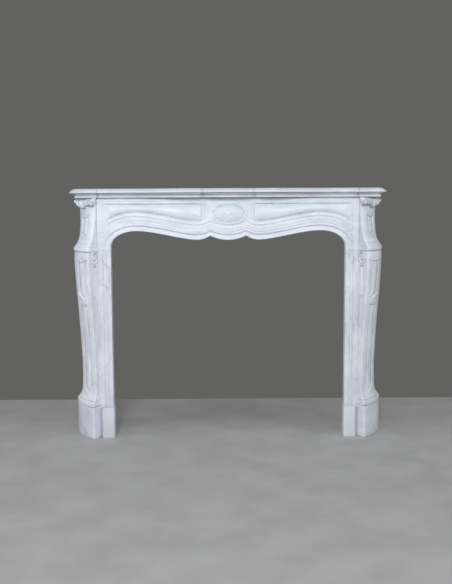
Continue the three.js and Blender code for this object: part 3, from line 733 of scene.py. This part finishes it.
def leg_outer(u, share, side):
    """Panels, apron, bars and leaf folds; u runs from the arris to the side."""
    upper, upper_dust_and_shade = sunk_panel(u, share, 0.708, 0.938, 0.034, 0.525, 0.185)
    lower_deep = lerp(0.585, 0.545, smooth(share, 0.42, 0.62))
    lower, lower_dust_and_shade = sunk_panel(u, share, 0.092, 0.632, 0.04, lower_deep, 0.23)
    edge = 1 - 0.044 - 0.02 * math.sin(math.pi * min(max((u + 0.02) / 0.7, 0), 1))
    on_apron = level(u, 0.04, 0.64, 0.04)
    apron = smooth(share, edge - 0.0015, edge + 0.0015) * on_apron
    # A small groove under the apron's scalloped edge, with its shadow painted in.
    shade = hump(share, edge - 0.003, 0.003) * on_apron * lerp(0.35, 1, smooth(u, 0.15, 0.3))
    rise = (upper + lower) * (1 - apron) + 2.8 * apron - 1.8 * shade
    dust_and_shade = (upper_dust_and_shade + lower_dust_and_shade) * (1 - apron) + 0.8 * shade
    rise += 1.2 * level(u, 0.2, 0.6, 0.05) * level(share, 0.662, 0.7, 0.008)
    # Each bar is a cut, with painted shade in it.
    for at, depth in BARS:
        cut = hump(share, at - 0.024 * (u - 0.4), 0.0032) * level(u, 0.18, 0.62, 0.02)
        rise -= depth * cut
        dust_and_shade += 0.85 * cut * depth / BARS[0][1]
    # Each fold is a crest, with its shadow painted just under it.
    for at, crest in FOLDS:
        fold = share - at - 0.079 * (u - 0.33)
        within = level(u, 0.34, 0.72, 0.05)
        rise += crest * hump(fold, 0, 0.006) * within
        dust_and_shade += 0.35 * hump(fold, -0.011, 0.005) * within
    # The right leg's outer face a little darker all over, and painted shade along the arris, which dulls its
    # highlight.
    dust_and_shade += 0.12 * (side > 0) + 0.12 * hump(u, 0.06, 0.09)
    return rise + mouldings(share)[0], dust_and_shade + mouldings(share)[1]


print("outer face, in a groove:", [round(v, 2) for v in leg_outer(0.525, 0.8, 1)])


# %% Leg, inner face
def leg_inner(u, share, side):
    """Scroll, bar, stem, two small curls and a pit; u runs from the slip to the arris."""
    wide, tall = (u - 0.34) / 0.3, (share - 0.96) / 0.037
    spread, around = math.hypot(wide, tall), math.atan2(tall, wide)
    wind = spread - 0.16 * (around / math.pi + 1)
    scroll = hump(wind, 0.78, 0.17) * 3.4 + hump(wind, 0.12, 0.22) * 3.0
    hollow = hump(wind, 0.46, 0.13) + 0.7 * hump(spread, 1.25, 0.12) * smooth(-tall, -0.4, 0.5)
    bar = hump(share - 0.012 * (u - 0.33), 0.909, 0.004) * level(u, 0.14, 0.6, 0.06)
    under = hump(share - 0.012 * (u - 0.33), 0.9025, 0.004) * level(u, 0.2, 0.52, 0.05)
    stem_at = 0.3 + 0.05 * smooth(share, 0.82, 0.6)
    stem = hump(u, stem_at, 0.1) * level(share, 0.6, 0.89, 0.01)
    beside = hump(u, stem_at + 0.17, 0.04) * level(share, 0.8, 0.895, 0.02)
    hollow_side = hump(u, 0.1, 0.09) * level(share, 0.13, 0.9, 0.03)
    eye_low = hump(math.hypot((u - 0.62) / 0.16, (share - 0.138) / 0.012), 0.8, 0.32)
    small = hump(math.hypot((u - 0.47) / 0.13, (share - 0.705) / 0.01), 0.9, 0.25)
    pit = hump(math.hypot((u - 0.58) / 0.09, (share - 0.503) / 0.004), 0, 0.8) * (side < 0)
    ends = smooth(u, 0, 0.1)
    rise = scroll - 3.4 * hollow + 2.2 * bar - 3.0 * under + 2.2 * stem - 1.6 * hollow_side + 1.4 * eye_low
    rise -= 2.0 * small + 1.2 * beside + 1.4 * pit
    # Painted shade in the scroll's hollow, under the bar, beside the stem, in the small curl and in the pit.
    # The right leg's inner face, which looks to the left, gets painted shade all over and most in the hollow
    # beside the slip; the left one only in that hollow.
    dust_and_shade = 0.75 * hollow + 0.85 * under + 0.3 * beside + 0.6 * small + 0.8 * pit
    dust_and_shade += 0.15 + 0.36 * hollow_side if side > 0 else 0.06 * hollow_side
    return rise * ends + mouldings(share)[0], dust_and_shade + mouldings(share)[1]


def leg_carving(face, u, share, side):
    """Either face, with the joints at both ends."""
    rise, dust_and_shade = leg_outer(u, share, side) if face == "outer" else leg_inner(u, share, side)
    joint = hump(share, 0, 0.0026) + hump(share, 1, 0.003)
    return rise - 0.8 * joint, dust_and_shade + 0.85 * joint


print("inner face, in the scroll:", [round(v, 2) for v in leg_carving("inner", 0.34, 0.96, 1)])

# %% Legs
LEG_EASED = (2.4, 0.045)
FOOT_ROWS_END = 0.024   # the rows are closer together up to here, over the foot's mouldings
leg_rows = [k / 100 * 0.06 for k in range(40)]
leg_rows += [FOOT_ROWS_END + (1 - FOOT_ROWS_END) * k / 330 for k in range(331)]
for side, name in SIDES:
    leg_bm = carved_skin(side, leg_rows, LEG_STATIONS, FOOT_JOINT, LEG_HEIGHT, FRIEZE_SIDE + JOINT, leg_carving,
                         LEG_EASED)
    shown(f"cabriole_leg_{name}", leg_bm, grey_marble, f"leg_{name}", 55)

# %% [markdown]
# ## The blocks over the legs
# Each block swells from a hollow neck to a collar over the leg. Its face has one sunk panel under two
# scalloped lines, and a petal under the strip. On top lies a scroll: a roll of stone with a spiral at its
# inner end and three lobes of a leaf at its outer end. It could be put together from a roll and balls, but
# their seams would show. Here it is one tube: `spin` makes it, and stations then widen its rings, so that it
# runs from the roll into the lobes. All rings hang from one top line, because the scroll lies under the
# shelf.

# %% Block carving
# The two scalloped lines over the panel: share of the height, sag, depth, and from and to which u
SCALLOPS = ((0.662, 0.032, 4.2, 0.28, 0.7), (0.69, 0.006, 1.8, 0.22, 0.78))
# The petal's two lines: share of the height, bend, and the u where it turns
PETALS = ((0.275, 0.018, 0.42), (0.235, 0.022, 0.48))


def block_carving(face, u, share, side):
    """Height, and dust with painted shade, on either face of a block, as on the legs."""
    lines = hump(share, 0.152, 0.004) + 0.8 * hump(share, 0.083, 0.004)
    joint = hump(share, 0, 0.006)
    if face == "inner":
        # Painted shade along the inner face's edge by the frieze, and over the whole inner face of the right
        # block, which looks to the left.
        side_shade = 0.06 * hump(u, 0, 0.08) + (HANDLED + 0.22) * (side > 0)
        return -1.2 * lines - joint, 0.4 * lines + 0.7 * joint + side_shade
    turned = 1 - min(max((share - 0.31) / 0.06, 0), 1)
    inside = level(share, 0.315, 0.635, 0.01)
    deep = level(u, 0.55 - 0.27 * turned ** 1.3, 0.665 - 0.3 * turned ** 1.3, 0.03) * inside
    thin = level(u, 0.26, 0.32, 0.025) * level(share, 0.34, 0.63, 0.012)
    fine = hump(u, 0.2, 0.016) * level(share, 0.25, 0.6, 0.02)
    strip = level(u, 0.33, 0.54, 0.03) * inside
    rounded = 1.4 * math.sin(math.pi * min(max((u - 0.31) / 0.25, 0), 1)) ** 0.7
    rise = -5.5 * deep - 1.4 * thin - 1.2 * fine + strip * (rounded - 0.9)
    # Painted shade in the grooves, the scalloped lines and the petal's lines.
    dust_and_shade = 0.7 * deep + 0.3 * thin + 0.25 * fine
    for at, sag, depth, low, high in SCALLOPS:
        scallop = at - sag * math.sin(math.pi * min(max((u - low) / (high - low), 0), 1))
        cut = hump(share, scallop, 0.0095) * level(u, low, high, 0.03)
        rise -= depth * cut
        dust_and_shade += 0.19 * depth * cut
    for at, bend, turn_at in PETALS:
        leaf = hump(share, at + bend * math.cos((u - turn_at) * 13), 0.009) * level(u, 0.26, 0.7, 0.06)
        rise -= 1.6 * leaf
        dust_and_shade += 0.22 * leaf
    # Painted shade in the fine lines and the joint; only the right block's face also gets the grey film.
    return rise - 1.2 * lines - joint, dust_and_shade + 0.35 * lines + 0.8 * joint + HANDLED * (side > 0)


print("block's face, in its groove:", [round(v, 2) for v in block_carving("outer", 0.6, 0.5, 1)])

# %% Scroll
ROLL = 17.5             # radius of the roll
ROLL_START = Vector((FRIEZE_SIDE + 8.5, 13, UNDER_SHELF - 20.5))
ROLL_WAY = Vector((82, 105, 0))
ROLL_LONG = ROLL_WAY.length


def along_roll(side, co):
    """Turns a shape made along +Y to lie along the roll, and mirrors it for the left side."""
    turn = Vector((0, 1, 0)).rotation_difference(ROLL_WAY.normalized())
    at = turn @ co + ROLL_START
    return placed(side * at.x, at.y, at.z)


# The spiral: its centre along the roll and up from the axis, the step between turns, and how wide it is
COIL_AT, COIL_RISE, COIL_PITCH, COIL_WIDE = 0.15, -3, 8.5, 17
# Rings of the tube: share of the roll's length, half its width, half its height
ROLL_STATIONS = (
    (-0.03, 8, 8), (0, 14, 14), (0.06, 17.5, 17.5), (0.3, 16.9, 16.9), (0.44, 17.5, 17.5), (0.47, 14, 14),
    (0.5, 18, 18.6), (0.55, 22, 22.4), (0.62, 23.2, 22.6), (0.69, 22.4, 20.4), (0.725, 17.6, 15.4),
    (0.74, 17.6, 14.8), (0.775, 22.8, 18.6), (0.82, 23.9, 18.6), (0.87, 23, 17.2), (0.905, 17.6, 11.4),
    (0.92, 17.6, 10.8), (0.95, 22.3, 12), (0.99, 22.6, 10.4), (1.03, 19, 8), (1.06, 11, 5))
ROLL_RINGS, ROLL_COLUMNS = 96, 72


def coil(share, rise):
    """1 in the groove of the spiral that winds on the front of the roll, near its inner end."""
    across, up = (share - COIL_AT) * ROLL_WAY.x, rise - COIL_RISE
    spread = math.hypot(across, up)
    wind = (spread / COIL_PITCH - math.atan2(up, across) / (2 * math.pi)) % 1
    return max(0, math.sin(2 * math.pi * wind)) * (1 - smooth(spread, COIL_WIDE - 3, COIL_WIDE))


def roll_bm(side):
    """The roll and its leaf, made along +Y with its rings hung from one top line, then laid in place."""
    bm = bmesh.new()
    points = [bm.verts.new((1, k / ROLL_RINGS, 0)) for k in range(ROLL_RINGS + 1)]
    edges = [bm.edges.new(pair) for pair in zip(points, points[1:])]
    bmesh.ops.spin(bm, geom=points + edges, cent=(0, 0, 0), axis=(0, 1, 0), angle=2 * math.pi,
                   steps=ROLL_COLUMNS, use_merge=True, dvec=(0, 0, 0))
    bmesh.ops.holes_fill(bm, edges=[e for e in bm.edges if e.is_boundary], sides=0)
    ends = [f for f in bm.faces if len(f.verts) > 4]
    bmesh.ops.poke(bm, faces=ends)
    for vert in bm.verts:
        x, y, z = vert.co
        share = lerp(ROLL_STATIONS[0][0], ROLL_STATIONS[-1][0], y)
        wide, high = reading(ROLL_STATIONS, share, 1), reading(ROLL_STATIONS, share, 2)
        along = share * ROLL_LONG
        wide -= 2.6 * coil(share, ROLL + high * (z - 1)) * smooth(x, 0, 0.3)
        if math.hypot(x, z) < 0.1:
            along -= 1.5 if y < 0.5 else -1.5
        vert.co = along_roll(side, Vector((x * wide, along, ROLL + high * (z - 1))))
    bmesh.ops.recalc_face_normals(bm, faces=bm.faces)
    return bm


def kept_inside(bm, side):
    """Cuts off what would stand into the shelf or the frieze."""
    shelf_plane = placed(0, 0, UNDER_SHELF), (0, 0, 1)
    frieze_plane = placed(side * (FRIEZE_SIDE + JOINT), 0, 0), (-side, 0, 0)
    for point, out in (shelf_plane, frieze_plane):
        cut = bmesh.ops.bisect_plane(bm, geom=bm.verts[:] + bm.edges[:] + bm.faces[:], plane_co=point,
                                     plane_no=out, clear_outer=True)
        rim = [e for e in cut["geom_cut"] if isinstance(e, bmesh.types.BMEdge)]
        if rim:
            bmesh.ops.holes_fill(bm, edges=rim, sides=0)


def roll_dust_and_shade(side):
    """Painted shade between the lobes, in the spiral and under the roll, over a grey film of dust."""
    start, way = placed(side * ROLL_START.x, ROLL_START.y, ROLL_START.z), ROLL_WAY.normalized()
    way.x *= side

    def held(co):
        share = (co - start).dot(way) / (ROLL_LONG * MM)
        rise = (co.z - start.z) / MM
        between = hump(share, 0.47, 0.022) + hump(share, 0.733, 0.022) + 0.8 * hump(share, 0.912, 0.02)
        # The roll's shadow on its own lower side, painted.
        low = lerp(7, 17, smooth(share, 0.4, 0.55))
        under = smooth(-rise, low, low + 9)
        # The right scroll's film is greyer.
        ground = HANDLED + 0.14 if side > 0 else HANDLED
        return min(ground + 0.9 * between + 0.8 * under + 0.7 * coil(share, rise), 1)

    return held


BLOCK_EASED = (3.6, 0.11)
block_rows = [k / 150 for k in range(151)]
for side, name in SIDES:
    block_bm = carved_skin(side, block_rows, BLOCK_STATIONS, COLLAR_JOINT, BLOCK_HEIGHT, FRIEZE_SIDE + JOINT,
                           block_carving, BLOCK_EASED)
    roll = roll_bm(side)
    kept_inside(roll, side)
    add_to(block_bm, roll, roll_dust_and_shade(side))
    shown(f"upper_block_{name}", block_bm, white_marble, f"upper_block_{name}", 55)

# %% [markdown]
# ## Feet
# Each leg stands on a block with the same wedge plan, its top edge chamfered and its lower edge rubbed by
# brooms and shoes. The skin is plain here, so it needs few rows, and a little noise along the edges gives the
# scuffs. Behind its inner face the block is cut back, where the slip comes down.

# %% Foot plinths
SLIP_PLINTH_OUT = FRIEZE_SIDE - 8.5
FOOT_ARRIS, FOOT_WIDEST = FRIEZE_SIDE + 24.5, FRIEZE_SIDE + 118.5
# Levels of the foot: height, and how far its faces are cut back there
foot_levels = ((0, 1.6), (0.8, 0.6), (2.5, 0), (10, 0), (30, 0), (55, 0), (80, 0), (105, 0), (125, 0), (136, 0),
               (138, 0.3), (139.5, 1.2), (141.2, 2.8), (142.2, 3.8), (FOOT_JOINT - JOINT, 4.6))


def foot_point(side):
    """The drawing of the foot on one side."""
    beside_slip, beside_plinth = FRIEZE_SIDE + JOINT, SLIP_PLINTH_OUT + JOINT
    before_slip = SLIP_FRONT - JOINT
    faces = faces_of(FOOT_ARRIS, 0, FOOT_WIDEST, beside_plinth, before_slip)

    def drawing(i, j):
        z, cut = foot_levels[j]
        face, u = PLAN[i % len(PLAN)]
        if face == "behind":
            x, y = ((FOOT_WIDEST - 3 - cut, LEG_BACK), (beside_slip, LEG_BACK), (beside_slip, before_slip))[u]
            return side * x, y, z, 0
        x, y, out_x, out_y = faces[face](u)
        soft_arris = 1.8 * (hump(u, 0, 0.03) if face == "outer" else hump(u, 1, 0.045))
        on_edges = hump(z, 0, 12) + hump(z, 140, 5)
        scuff = 1.6 * max(0, noise.noise(Vector((side * x, y, z)) / 14) - 0.25) * on_edges
        inward = cut + scuff + soft_arris + waver(side * x, y, z, 30, 0.3)
        # The corner beside the slip plinth gets painted shade.
        if u == 0 and face == "inner":
            return side * x, y + cut, z, 0.2
        # Darker at the floor and in the joint at the top. The outer face is greyed except along the arris,
        # which leaves a painted highlight there; the right foot's inner face, which looks to the left, gets
        # painted shade.
        dust_and_shade = 0.4 * hump(z, 0, 9) + 0.7 * hump(z, FOOT_JOINT, 1.6)
        dust_and_shade += 0.19 * smooth(u, 0.02, 0.1) if face == "outer" else 0.17 * (side > 0)
        return side * (x - out_x * inward), y - out_y * inward, z, dust_and_shade

    return drawing


for side, name in SIDES:
    foot_bm = skin(len(PLAN), len(foot_levels) - 1, foot_point(side))
    shown(f"foot_plinth_{name}", foot_bm, bluish_marble, f"foot_plinth_{name}", 40)

# %% [markdown]
# ## Slips, their plinths and the side returns
# The slips are flat strips of sawn marble that line the opening, with fine lines down their faces, so they
# are skins too. They stand on small plinths of a creamier stone. Plain slabs close the
# mantel's sides behind the legs. A box with its edges bevelled a little is all that a sawn slab is, so the
# plinths and the plain slabs start from `create_cube`.

# %% Sawn slabs
SLIP_PLINTH_IN, SLIP_PLINTH_FRONT = HALF_OPENING - 5, 28
RETURN_OUT, RETURN_THICK = FRIEZE_SIDE + 74.5, 30
# Lines down a slip: distance from its inner edge, width, depth
SLIP_LINES = ((18, 1.0, 1.1), (21.5, 0.9, 0.7), (33, 1.2, 1.3), (36.5, 1.0, 0.8), (51, 2.0, 1.0))


def slab_bm(low, high, edge=0.9):
    """A sawn slab between two corners, its edges eased with grit."""
    bm = bmesh.new()
    dust_and_shade = bm.verts.layers.float.new(DUST_AND_SHADE)
    bmesh.ops.create_cube(bm, size=1)
    for vert in bm.verts:
        vert.co = placed(*(lerp(a, b, c + 0.5) for a, b, c in zip(low, high, vert.co)))
        vert[dust_and_shade] = 0
    bmesh.ops.bevel(bm, geom=bm.edges[:], offset=edge * MM, segments=3, profile=0.5, affect="EDGES",
                    material=-1)
    return bm


def mirrored(side, low, high):
    """The two corners of a right-hand slab, for the side it is wanted on."""
    xs = sorted((side * low[0], side * high[0]))
    return (xs[0], *low[1:]), (xs[1], *high[1:])


def slip_bm(side):
    """A slip with fine lines down its face; columns go round its plan."""
    xs = [HALF_OPENING + 0.9 * k / 3 for k in range(3)]
    xs += [HALF_OPENING + 1 + (FRIEZE_SIDE - HALF_OPENING - 2) * k / 110 for k in range(111)]
    xs += [FRIEZE_SIDE - 0.9 * (2 - k) / 3 for k in range(3)]
    levels = [lerp(SLIP_PLINTH_TOP, SLIP_JOINT, k / 46) for k in range(47)]

    def drawing(i, j):
        z = levels[j]
        i %= len(xs) + 2
        if i >= len(xs):
            return side * (FRIEZE_SIDE, HALF_OPENING)[i - len(xs)], SLIP_FRONT + SLAB, z, 0
        x = xs[i]
        inner_edge = x - HALF_OPENING
        cut = sum(depth * hump(inner_edge, at, width) for at, width, depth in SLIP_LINES)
        eased = 1.0 * (hump(inner_edge, 0, 0.7) + hump(x, FRIEZE_SIDE, 0.7))
        y = SLIP_FRONT + cut + eased + waver(side * x, 0, z, 40, 0.35)
        # Painted shade in the lines, a dark joint at the plinth and a grey film over all.
        dust_and_shade = min(0.3, 0.16 * abs(cut)) + 0.25 * hump(z, SLIP_PLINTH_TOP, 2) + 0.14
        return side * x, y, z, dust_and_shade

    return skin(len(xs) + 2, len(levels) - 1, drawing)


for side, name in SIDES:
    shown(f"slip_{name}", slip_bm(side), grey_marble, f"slip_{name}", 40)
    low, high = mirrored(side, (SLIP_PLINTH_IN, SLIP_PLINTH_FRONT, 0),
                         (SLIP_PLINTH_OUT, SLIP_FRONT + SLAB, SLIP_PLINTH_TOP - JOINT))
    shown(f"slip_plinth_{name}", slab_bm(low, high, 1.2), cream_marble, f"slip_plinth_{name}")
    low, high = mirrored(side, (RETURN_OUT - RETURN_THICK, LEG_BACK + JOINT, 0),
                         (RETURN_OUT, BACK_Y, UNDER_SHELF))
    shown(f"side_return_{name}", slab_bm(low, high), grey_marble, f"side_return_{name}")

# %% [markdown]
# ## Floor, light and camera
# The mantel stands on a plain pale floor of trowelled cement screed: quite matt, with a soft mottling. A key
# light hangs in front, a little to the left and about seventeen degrees up, and throws the shelf's short
# shadow on the frieze. Large soft lights on both sides and above, and a grey surround, fill the shadows. The
# camera stands in front, just below the height of the shelf, and looks slightly down.

# %% Floor
floor_bm = bmesh.new()
bmesh.ops.create_grid(floor_bm, x_segments=1, y_segments=1, size=0.5)
for vert in floor_bm.verts:
    vert.co = Vector((vert.co.x * 12, lerp(-5.5, 0.62, vert.co.y + 0.5), 0))
floor_mesh = bpy.data.meshes.new("pale_floor")
floor_bm.to_mesh(floor_mesh)
floor_bm.free()
floor = bpy.data.objects.new("pale_floor", floor_mesh)
bpy.context.scene.collection.objects.link(floor)
floor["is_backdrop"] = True

screed = bpy.data.materials.new("pale_floor_screed")
screed.use_nodes = True
screed_tree = screed.node_tree
where = add(screed_tree, "ShaderNodeTexCoord").outputs["Object"]
mottle = add(screed_tree, "ShaderNodeTexNoise", {"Vector": where, "Scale": 6.0, "Detail": 8.0})
screed_shader = screed_tree.nodes["Principled BSDF"]
patches = ranged(screed_tree, mottle.outputs["Fac"], 0.35, 0.65)
screed_tree.links.new(mixed(screed_tree, patches, from_hex("#b4b2ae"), from_hex("#bfbdb9")),
                      screed_shader.inputs["Base Color"])
screed_shader.inputs["Roughness"].default_value = 0.85
floor_mesh.materials.append(screed)
print("floor:", [round(d, 2) for d in floor.dimensions])

# %% Light
world = bpy.data.worlds.new("grey_surround")
bpy.context.scene.world = world
world.use_nodes = True
world.node_tree.nodes["Background"].inputs["Color"].default_value = from_hex("#a9a8a6")
world.node_tree.nodes["Background"].inputs["Strength"].default_value = 0.31


def soft_light(name, at, towards, size, power, colour):
    """A square soft light that faces a point."""
    lamp = bpy.data.lights.new(name, "AREA")
    lamp.size = size
    lamp.energy = power
    lamp.color = from_hex(colour)[:3]
    holder = bpy.data.objects.new(name, lamp)
    holder.location = at
    holder.rotation_mode = "QUATERNION"
    holder.rotation_quaternion = (Vector(towards) - Vector(at)).to_track_quat("-Z", "Y")
    bpy.context.scene.collection.objects.link(holder)


DAYLIGHT = "#f4f8ff"
MIDDLE = (0, 0, 0.7)
soft_light("key_window", (-0.55, -6.0, 2.5), MIDDLE, 1.1, 180, DAYLIGHT)
soft_light("left_bounce", (-5.5, -2.6, 2.2), MIDDLE, 4.0, 121, DAYLIGHT)
soft_light("right_bounce", (5.5, -2.6, 2.2), MIDDLE, 4.0, 112, DAYLIGHT)
soft_light("ceiling_bounce", (0, -2.6, 5.2), MIDDLE, 4.0, 60, DAYLIGHT)
bpy.context.scene.view_settings.view_transform = "Standard"

# %% Camera
FOCAL_PIXELS = 820
FRAME_HIGH = 584
YAW, PITCH, ROLL_ANGLE = -0.007767, -0.105820, 0.004863     # radians
CAMERA_AT = placed(-38.68, -3536.04, 1028.32)
SENSOR = 36
turn = Matrix.Rotation(YAW, 4, "Z") @ Matrix.Rotation(PITCH, 4, "X") @ Matrix.Rotation(ROLL_ANGLE, 4, "Y")
camera_data = bpy.data.cameras.new("camera")
camera_data.sensor_width = SENSOR
camera_data.lens = FOCAL_PIXELS * SENSOR / FRAME_HIGH
camera_data.clip_end = 100
camera = bpy.data.objects.new("camera", camera_data)
camera.matrix_world = Matrix.Translation(CAMERA_AT) @ turn @ Matrix.Rotation(math.radians(90), 4, "X")
bpy.context.scene.collection.objects.link(camera)
bpy.context.scene.camera = camera
print("camera stands", round(camera.location.z, 3), "m high, lens", round(camera_data.lens, 2), "mm")

# %% Sizes of the finished scene
low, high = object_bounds()
print("visual box from", [round(v, 3) for v in low], "to", [round(v, 3) for v in high])
